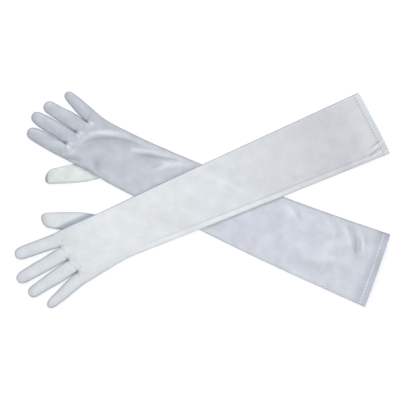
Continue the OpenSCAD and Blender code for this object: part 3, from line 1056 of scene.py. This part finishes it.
def cloth_piece(name, skin, chosen, outer=0.0, inner=CLOTH):
    """A closed mesh from some of a skin's triangles, between two depths under the skin."""
    faces = skin.triangles[chosen]
    used, local = np.unique(faces, return_inverse=True)
    local = local.reshape(-1, 3)
    count = len(used)
    place, normal = skin.points[used], skin.normals[used]
    points = np.vstack([place - normal * outer, place - normal * inner])
    edges = np.vstack([local[:, [0, 1]], local[:, [1, 2]], local[:, [2, 0]]])
    forward = edges[:, 0] * count + edges[:, 1]
    backward = edges[:, 1] * count + edges[:, 0]
    rim = edges[~np.isin(forward, backward)]
    quads = np.column_stack([rim[:, 1], rim[:, 0], rim[:, 0] + count, rim[:, 1] + count])
    inward = local[:, ::-1] + count
    mesh = bpy.data.meshes.new(name)
    loops = np.concatenate([local.ravel(), inward.ravel(), quads.ravel()])
    starts = np.concatenate([
        np.arange(0, 6 * len(local), 3),
        6 * len(local) + np.arange(0, 4 * len(quads), 4),
    ])
    mesh.vertices.add(len(points))
    mesh.vertices.foreach_set("co", points.ravel())
    mesh.loops.add(len(loops))
    mesh.loops.foreach_set("vertex_index", loops.astype(np.int32))
    mesh.polygons.add(len(starts))
    mesh.polygons.foreach_set("loop_start", starts.astype(np.int32))
    mesh.update(calc_edges=True)
    uv = mesh.uv_layers.new(name="cloth")
    both = np.concatenate([used, used])
    uv.data.foreach_set("uv", skin.texture[both][loops].ravel())
    # The tone attribute holds the cloth's colour with painted light and shade in it
    layer = mesh.attributes.new("tone", "FLOAT_COLOR", "POINT")
    layer.data.foreach_set("color", skin.tone[both].astype(np.float32).ravel())
    mesh.polygons.foreach_set("use_smooth", np.ones(len(starts), bool))
    split = np.vstack([normal, -normal])[loops]
    corner = points[quads]
    flat_normal = np.cross(corner[:, 1] - corner[:, 0], corner[:, 3] - corner[:, 0])
    flat_normal /= np.maximum(np.linalg.norm(flat_normal, axis=1), 1e-12)[:, None]
    split[6 * len(local):] = np.repeat(flat_normal, 4, axis=0)
    mesh.normals_split_custom_set(split.tolist())
    piece = bpy.data.objects.new(name, mesh)
    bpy.context.scene.collection.objects.link(piece)
    return piece


def within_root(side, i, spots):
    """Which spots lie in a finger: past its root cut and inside its part of the outline."""
    part = outlines[side][roots[side][i]:roots[side][i + 1] + 1]
    return inside(spots, part)


GAP_BETWEEN = 1.3 * mm
# The right thumb's tone is much lighter than its hand's: painted light. The fold and tip values are
# painted shade where the thumb turns under the hand's edge and in its turned tip
THUMB_TONE = {"left": (0.70, 0.735, 0.74), "right": (0.70, 0.755, 0.735)}
THUMB_FOLD_SHADE = {"left": 0.42, "right": 0.0}
THUMB_TIP_SHADE = {"left": 0.08, "right": 0.36}
TIP_DEPTH = 5 * mm
skins, thumb_skins = {}, {}
for side, glove in gloves.items():
    pattern = patterns[side]
    back, palm, seam_and_shade_marks, d = glove_heights(side, pattern.points)
    lowest = palm + np.minimum(GAP_BETWEEN, d * 1.6)
    back = np.where(pattern.shared, EDGE_HEIGHT, np.maximum(back, lowest))
    base = sample_grid(bases[side], pattern.points)
    palm = np.where(pattern.shared, EDGE_HEIGHT, palm)
    along, _ = place_along(glove, pattern.points)
    # The marks paint shade and light into the tone: shade along sewn lines, in fold hollows, fork creases
    # and the left hem's needle dips; light on fold ridges, behind the forks and on the seam strip; the
    # right hem gets lighter dashes on a darker band
    marks = seam_and_shade_marks + 0.9 * fork_crease_shade(side, pattern.points) + 1.2 * hem_marks(side, pattern.points)
    marks -= fork_highlights(side, pattern.points)
    marks -= seam_strip_painted_light(side, pattern.points)
    tone = shaded(side, pattern.points, painted_tone_along(side, along), d, marks)
    skins[side] = Skin(glove, pattern, base + back, base + palm, tone)
    thumb = thumbs[side]
    loop = np.vstack([thumb.outline, thumb.outline[:1]])
    thumb_pattern = Pattern(thumb.outline)
    thumb_pattern.shared = distance_to_line(thumb_pattern.points, loop) < 0.02 * mm
    d = distance_to_line(thumb_pattern.points, loop)
    top, bottom = thumb.heights(thumb_pattern.points, d)
    x = (thumb_pattern.points - thumb.root) @ thumb.heading
    lift = unevenness(glove, thumb_pattern.points, THUMB_SEED) * 0.6 * mm
    top = top + lift * ease(d / (5 * mm))
    line = groove(d - 2.3 * mm, 0.5 * mm) * 0.8
    tone = np.tile(np.array(THUMB_TONE[side]), (len(d), 1))
    to_hand = distance_to_line(thumb_pattern.points, outlines[side])
    # Painted shade beside the hand's edge and in the turned tip
    fold_shade = THUMB_FOLD_SHADE[side] * (1 - ease((to_hand - 3 * mm) / (5 * mm)))
    tone *= 1 - fold_shade[:, None] * SHADE_TINT
    sideways = (thumb_pattern.points - thumb.root) @ quarter_turn(thumb.heading)
    tip_line = thumb.length - TIP_DEPTH + THUMB_SKEW[side] * 0.5 * sideways
    tip_shade = THUMB_TIP_SHADE[side] * ease((x - tip_line) / (1.2 * mm))
    tone *= 1 - tip_shade[:, None] * SHADE_TINT
    tone = shaded(side, thumb_pattern.points, tone, d, 0.6 * line)
    thumb_skins[side] = Skin(glove, thumb_pattern, top - 0.2 * mm * line, bottom, tone)
    print(side, "skin points", len(skins[side].points), "thumb", len(thumb_skins[side].points))

# %% [markdown]
# ## Materials
# Satin is woven so that long threads lie on its face. Light glances off along them, so its gloss
# is stretched one way, and it follows each glove through the texture places. The upper glove is
# drawn a warmer, brighter white than the one below it, as painted light and shade on one white
# satin. Sewn lines carry a little painted shade.

# %% Satin, thread and floor
STRETCH = (12, 4.5, 1)
RIPPLE_DEPTH = 0.9 * mm
WEAVE_DEPTH = 0.03 * mm


def material(name, settings):
    made = bpy.data.materials.new(name)
    made.use_nodes = True
    body = made.node_tree.nodes["Principled BSDF"]
    for key, value in settings.items():
        body.inputs[key].default_value = value
    return made, body


def shader_node(made, kind, inputs=(), **settings):
    """Adds a shader node: settings first, then inputs, each a value or another node's output."""
    tree = made.node_tree
    new = tree.nodes.new("ShaderNode" + kind)
    for key, value in settings.items():
        setattr(new, key, value)
    for key, value in dict(inputs).items():
        if isinstance(value, bpy.types.NodeSocket):
            tree.links.new(value, new.inputs[key])
        else:
            new.inputs[key].default_value = value
    return new


def satin(name, rough, mottle):
    made, body = material(name, {
        "Roughness": rough,
        "Anisotropic": 0.6,
        "Specular IOR Level": 0.75,
        "Sheen Weight": 0.15,
        "Sheen Roughness": 0.4,
    })
    # The tone attribute brings the painted light and shade into the base colour
    tone = shader_node(made, "Attribute", attribute_name="tone").outputs["Color"]
    where = shader_node(made, "UVMap", uv_map="cloth").outputs["UV"]
    stretch = shader_node(made, "Mapping", {"Scale": STRETCH, "Vector": where}).outputs["Vector"]
    ripple = shader_node(made, "TexNoise", {"Scale": 1.0, "Detail": 3, "Vector": stretch})
    cloud = shader_node(made, "TexNoise", {"Scale": 5, "Detail": 2, "Vector": where})
    dim = shader_node(made, "MapRange", {
        "From Min": 0.3,
        "From Max": 0.7,
        "To Min": 1 - mottle,
        "To Max": 1 + mottle,
        "Value": cloud.outputs["Fac"],
    })
    mixed = {"Vector": tone, "Scale": dim.outputs["Result"]}
    scaled = shader_node(made, "VectorMath", mixed, operation="SCALE")
    tangent = shader_node(made, "Tangent", direction_type="UV_MAP", uv_map="cloth")
    weave = shader_node(made, "TexWave", {"Scale": 90, "Distortion": 0.6, "Vector": where})
    low = shader_node(made, "Bump", {
        "Strength": 0.6,
        "Distance": RIPPLE_DEPTH,
        "Height": ripple.outputs["Fac"],
    })
    fine = shader_node(made, "Bump", {
        "Strength": 0.12,
        "Distance": WEAVE_DEPTH,
        "Height": weave.outputs["Fac"],
        "Normal": low.outputs["Normal"],
    })
    link = made.node_tree.links.new
    link(scaled.outputs["Vector"], body.inputs["Base Color"])
    link(tangent.outputs["Tangent"], body.inputs["Tangent"])
    link(fine.outputs["Normal"], body.inputs["Normal"])
    return made


def thread(name, tone):
    return material(name, {"Base Color": tone, "Roughness": 0.6})[0]


cloth_of = {"left": satin("satin_upper", 0.34, 0.05), "right": satin("satin_lower", 0.33, 0.09)}
# The left hem's thread is drawn darker than the right's: painted shade of its needle dips
thread_of = {
    "left": thread("thread_shaded", (0.50, 0.53, 0.60, 1)),
    "right": thread("thread_light", (0.80, 0.82, 0.86, 1)),
}
paper, _ = material("pale_floor", {
    "Base Color": (0.45, 0.45, 0.45, 1),
    "Roughness": 0.9,
    "Emission Color": (1, 1, 1, 1),
    "Emission Strength": 0.62,
})
print("materials:", [m.name for m in bpy.data.materials])

# %% [markdown]
# ## The pieces of each glove
# The sleeve and finger pieces are cut from the skin and left where they lie, without a bend. The cut
# in the middle of the forearm and the cuts at the finger roots lie where the cloth doesn't bend. A
# thumb swings about the end of its own root, which stays in place, so it rides on its body whole.

# %% Sleeves, fingers and thumbs
ELBOW_REACH = 20 * mm
WRIST_REACH = 14 * mm
FINGER_BEND = (3 * mm, 17 * mm)
made_pieces, trims = {}, {}


def beyond(spots, line, heading):
    """Which spots lie past a straight line, seen along a heading."""
    normal = quarter_turn(line[-1] - line[0])
    normal = normal * math.copysign(1, normal @ heading)
    return (spots - line[0]) @ normal > 0


def bend_between(piece, a, b, spot, heading, before, after):
    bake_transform(piece)


def lay(piece, skin, chosen, length, wide):
    """Says how large the piece was cut: both layers, side by side."""
    corners = skin.points[skin.triangles[chosen]][:, :, :2]
    first, second = corners[:, 1] - corners[:, 0], corners[:, 2] - corners[:, 0]
    area = np.abs(first[:, 0] * second[:, 1] - first[:, 1] * second[:, 0]).sum() / 2
    flat = (round(float(wide), 3), round(float(length), 3))
    area = min(float(area), 0.999 * flat[0] * flat[1])
    print(piece.name, "flat in mm:", [round(v / mm) for v in flat], "square cm:", round(area * 1e4, 1))


def extent(spots, along):
    reach = spots @ along
    across = spots @ quarter_turn(along)
    return np.ptp(reach), np.ptp(across)


for side, glove in gloves.items():
    skin = skins[side]
    spots = skin.middles
    in_finger = [within_root(side, i, spots) for i in range(4)]
    on_fingers = np.any(in_finger, axis=0)
    in_cuff = beyond(spots, split_lines[side], glove.to_cuff) & ~on_fingers
    in_arm = ~in_cuff & ~on_fingers

    sleeve = cloth_piece(side + "_cuff_sleeve", skin, in_cuff)
    elbow_bend = (glove.elbow, glove.to_cuff, -ELBOW_REACH, ELBOW_REACH)
    bend_between(sleeve, side + "_forearm", side + "_cuff", *elbow_bend)
    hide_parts(side + "_cuff_back", side + "_cuff_palm", side + "_elbow_back", side + "_elbow_palm")
    arm = cloth_piece(side + "_arm_sleeve", skin, in_arm)
    wrist_bend = (glove.wrist, glove.to_hand, -WRIST_REACH, WRIST_REACH)
    bend_between(arm, side + "_forearm", side + "_hand", *wrist_bend)
    replaced = ("forearm_back", "forearm_palm", "forearm_seam", "wrist_back", "wrist_palm",
                "hand_back", "hand_palm", "hand_seam")
    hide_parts(*[f"{side}_{name}" for name in replaced])
    made_pieces[side] = {"cuff": (sleeve, in_cuff), "arm": (arm, in_arm)}

    for i, name in enumerate(FINGERS):
        finger = cloth_piece(f"{side}_{name}_finger", skin, in_finger[i])
        start, heading = glove.finger(name)
        bend_between(finger, side + "_hand", f"{side}_{name}", start, heading, *FINGER_BEND)
        fork_name = "fourchette" if name in ("index", "little") else "fourchettes"
        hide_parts(*[f"{side}_{name}_{part}" for part in ("back", "palm", fork_name)])
        made_pieces[side][name] = (finger, in_finger[i])

    thumb = thumbs[side]
    skin = thumb_skins[side]
    piece = cloth_piece(side + "_thumb_sleeve", skin, np.ones(len(skin.triangles), bool))
    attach(piece, side + "_thumb")
    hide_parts(side + "_thumb_back", side + "_thumb_palm")
    made_pieces[side]["thumb"] = (piece, np.ones(len(skin.triangles), bool))
    for made, _ in made_pieces[side].values():
        made.data.materials.append(cloth_of[side])
    print(side, "pieces:", [made.name for made, _ in made_pieces[side].values()])

# %% [markdown]
# ## Hem, stitches and the seam inside the mouth
# The hem's inner layer lies just under the outer one and shows only in the mouth. One stitch is
# modelled, and its copies follow the cloth on both sides. The seam's spare cloth stands inside
# the sleeve along the little-finger edge.

# %% One stitch and its copies
STITCH_LENGTH = 2.6 * mm
STITCH_RADIUS = 0.24 * mm
TAPE_LENGTH = 95 * mm
TAPE_NEAR, TAPE_FAR = 1.9 * mm, 6.5 * mm
TAPE_THICK = 0.5 * mm
# The hem's inner layer lies between these depths under the outer face
HEM_OUTER, HEM_INNER = 0.62 * mm, 1.05 * mm


def height_of(side, spots, top):
    back, palm, _, _ = glove_heights(side, spots)
    return sample_grid(bases[side], spots) + (back if top else palm)


def one_stitch():
    bpy.ops.object.select_all(action="DESELECT")
    bpy.ops.mesh.primitive_uv_sphere_add(segments=10, ring_count=8, radius=1, location=(0, 0, 0))
    stitch = bpy.context.object
    bpy.ops.transform.rotate(value=math.pi / 2, orient_axis="Y", center_override=(0, 0, 0))
    bpy.ops.object.transform_apply(location=False, rotation=True, scale=False)
    bpy.ops.transform.resize(value=(STITCH_LENGTH / 2, STITCH_RADIUS, STITCH_RADIUS))
    bpy.ops.object.transform_apply(location=False, rotation=False, scale=True)
    return stitch


def mesh_piece(name, points, faces, smooth=True):
    mesh = bpy.data.meshes.new(name)
    mesh.from_pydata([tuple(p) for p in points], [], [tuple(f) for f in faces])
    mesh.polygons.foreach_set("use_smooth", np.full(len(mesh.polygons), smooth))
    mesh.update()
    piece = bpy.data.objects.new(name, mesh)
    bpy.context.scene.collection.objects.link(piece)
    return piece


def stitch_row(side, stitch):
    mouth = mouths[side]
    length = np.linalg.norm(mouth[-1] - mouth[0])
    run = (mouth[-1] - mouth[0]) / length
    inward = quarter_turn(run)
    if inward @ gloves[side].to_cuff > 0:
        inward = -inward
    count = int((length - 8 * mm) / STITCH_PITCH)
    first = (length - (count - 1) * STITCH_PITCH) / 2
    model = np.array([v.co for v in stitch.data.vertices])
    model_faces = [tuple(f.vertices) for f in stitch.data.polygons]
    points, faces = [], []
    centres = mouth[0] + inward * HEM_STITCH_AT + run * (first + STITCH_PITCH * np.arange(count))[:, None]
    for top in (True, False):
        ends = [centres - run * STITCH_LENGTH / 2, centres + run * STITCH_LENGTH / 2]
        low, high = (height_of(side, e, top) for e in ends)
        for k in range(count):
            along = np.array([*(run * STITCH_LENGTH), high[k] - low[k]])
            along /= np.linalg.norm(along)
            across = np.array([-run[1], run[0], 0])
            up = np.cross(along, across)
            middle = np.array([*centres[k], (low[k] + high[k]) / 2])
            middle[2] += (0.35 if top else -0.35) * STITCH_RADIUS
            faces += [tuple(len(points) + i for i in f) for f in model_faces]
            points += list(middle + model @ np.array([along, across, up]))
    return mesh_piece(side + "_hem_stitches", points, faces)


def seam_tape(side):
    """A strip of spare cloth, half way between the layers, along the little-finger edge."""
    line = little_side_line(side)
    steps = run_length(line)
    line = line[(steps > 1 * mm) & (steps < TAPE_LENGTH)][::2]
    inward = across_line(line)
    whole_loop = np.vstack([outlines[side], mouths[side][1:-1]])
    turned = not inside(line + inward * TAPE_FAR, whole_loop)[len(line) // 2]
    if turned:
        inward = -inward
    columns = []
    for depth in np.linspace(TAPE_NEAR, TAPE_FAR, 4):
        spots = line + inward * depth
        middle = (height_of(side, spots, True) + height_of(side, spots, False)) / 2
        columns.append(np.column_stack([spots, middle]))
    grid = np.array(columns)
    wide, long = grid.shape[:2]
    half = np.array([0, 0, TAPE_THICK / 2])
    points = np.vstack([(grid + half).reshape(-1, 3), (grid - half).reshape(-1, 3)])
    count = wide * long
    faces = []
    for i in range(wide - 1):
        for j in range(long - 1):
            a, b, c, e = i * long + j, i * long + j + 1, (i + 1) * long + j + 1, (i + 1) * long + j
            faces += [(a, b, c, e), (e + count, c + count, b + count, a + count)]
    rim = list(range(long))
    rim += [i * long + long - 1 for i in range(1, wide)]
    rim += [(wide - 1) * long + j for j in range(long - 2, -1, -1)]
    rim += [i * long for i in range(wide - 2, 0, -1)]
    for a, b in zip(rim, rim[1:] + rim[:1]):
        faces.append((b, a, a + count, b + count))
    if turned:
        faces = [f[::-1] for f in faces]
    return mesh_piece(side + "_mouth_seam", points, faces, smooth=False)


stitch = one_stitch()
for side, glove in gloves.items():
    skin = skins[side]
    in_hem = beyond(skin.middles, hem_lines[side], glove.to_cuff)
    hem = cloth_piece(side + "_hem_band", skin, in_hem, outer=HEM_OUTER, inner=HEM_INNER)
    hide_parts(side + "_cuff_hem")
    stitches = stitch_row(side, stitch)
    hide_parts(side + "_cuff_stitches")
    tape = seam_tape(side)
    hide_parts(side + "_cuff_seam")
    for piece, look, slot in (
        (hem, cloth_of[side], "satin_edge"),
        (stitches, thread_of[side], "thread"),
        (tape, cloth_of[side], "satin_edge"),
    ):
        piece.data.materials.append(look)
        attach(piece, side + "_cuff")
    trims[side] = [hem, stitches, tape]
bpy.data.objects.remove(stitch)

# %% [markdown]
# ## How each piece was cut
# The size that each piece was cut to is printed, with both layers side by side.

# %% Sheets
for side, glove in gloves.items():
    for part, (piece, chosen) in made_pieces[side].items():
        used = thumb_skins[side] if part == "thumb" else skins[side]
        spots = used.points[np.unique(used.triangles[chosen])][:, :2]
        heading = glove.to_cuff
        if part in FINGERS:
            heading = glove.finger(part)[1]
        if part == "thumb":
            heading = thumbs[side].heading
        length, wide = extent(spots, heading)
        lay(piece, used, chosen, length, 2 * wide)

# %% [markdown]
# ## Floor, light and camera
# A pale floor, a broad soft light overhead and a smaller one from the side, which draws the folds.

# %% Floor, light and camera
FLOOR_SIZE = 6
FLOOR_BELOW = 0.3 * mm
bpy.ops.object.select_all(action="DESELECT")
bpy.ops.mesh.primitive_plane_add(size=FLOOR_SIZE, location=(0, 0, -FLOOR_BELOW))
floor = bpy.context.object
floor.name = "floor"
floor.data.materials.append(paper)

VIEW_CENTRE = (-0.00265, -0.00014)
VIEW_HEIGHT = 1.341
camera_data = bpy.data.cameras.new("camera")
camera_data.lens = 85
camera_data.sensor_width = 36
camera = bpy.data.objects.new("camera", camera_data)
camera.location = (*VIEW_CENTRE, VIEW_HEIGHT)
bpy.context.scene.collection.objects.link(camera)
bpy.context.scene.camera = camera


def area_light(name, place, size, power):
    """A white lamp that points at the middle of the gloves."""
    data = bpy.data.lights.new(name, "AREA")
    data.shape = "RECTANGLE"
    data.size, data.size_y = size
    data.energy = power
    lamp = bpy.data.objects.new(name, data)
    lamp.location = place
    lamp.rotation_euler = (Vector((0, 0, 0)) - Vector(place)).to_track_quat("-Z", "Y").to_euler()
    bpy.context.scene.collection.objects.link(lamp)


area_light("overhead", (0.0, -0.15, 1.9), (1.5, 1.5), 14)
area_light("side", (-0.25, 1.15, 1.05), (1.0, 0.35), 9.5)
area_light("fill", (0.3, -1.2, 0.8), (1.2, 0.4), 3.5)
world = bpy.data.worlds.new("studio")
bpy.context.scene.world = world
world.use_nodes = True
sky = world.node_tree.nodes["Background"].inputs
sky["Color"].default_value = (0.95, 0.97, 1, 1)
sky["Strength"].default_value = 0.33
bpy.context.scene.view_settings.view_transform = "Standard"
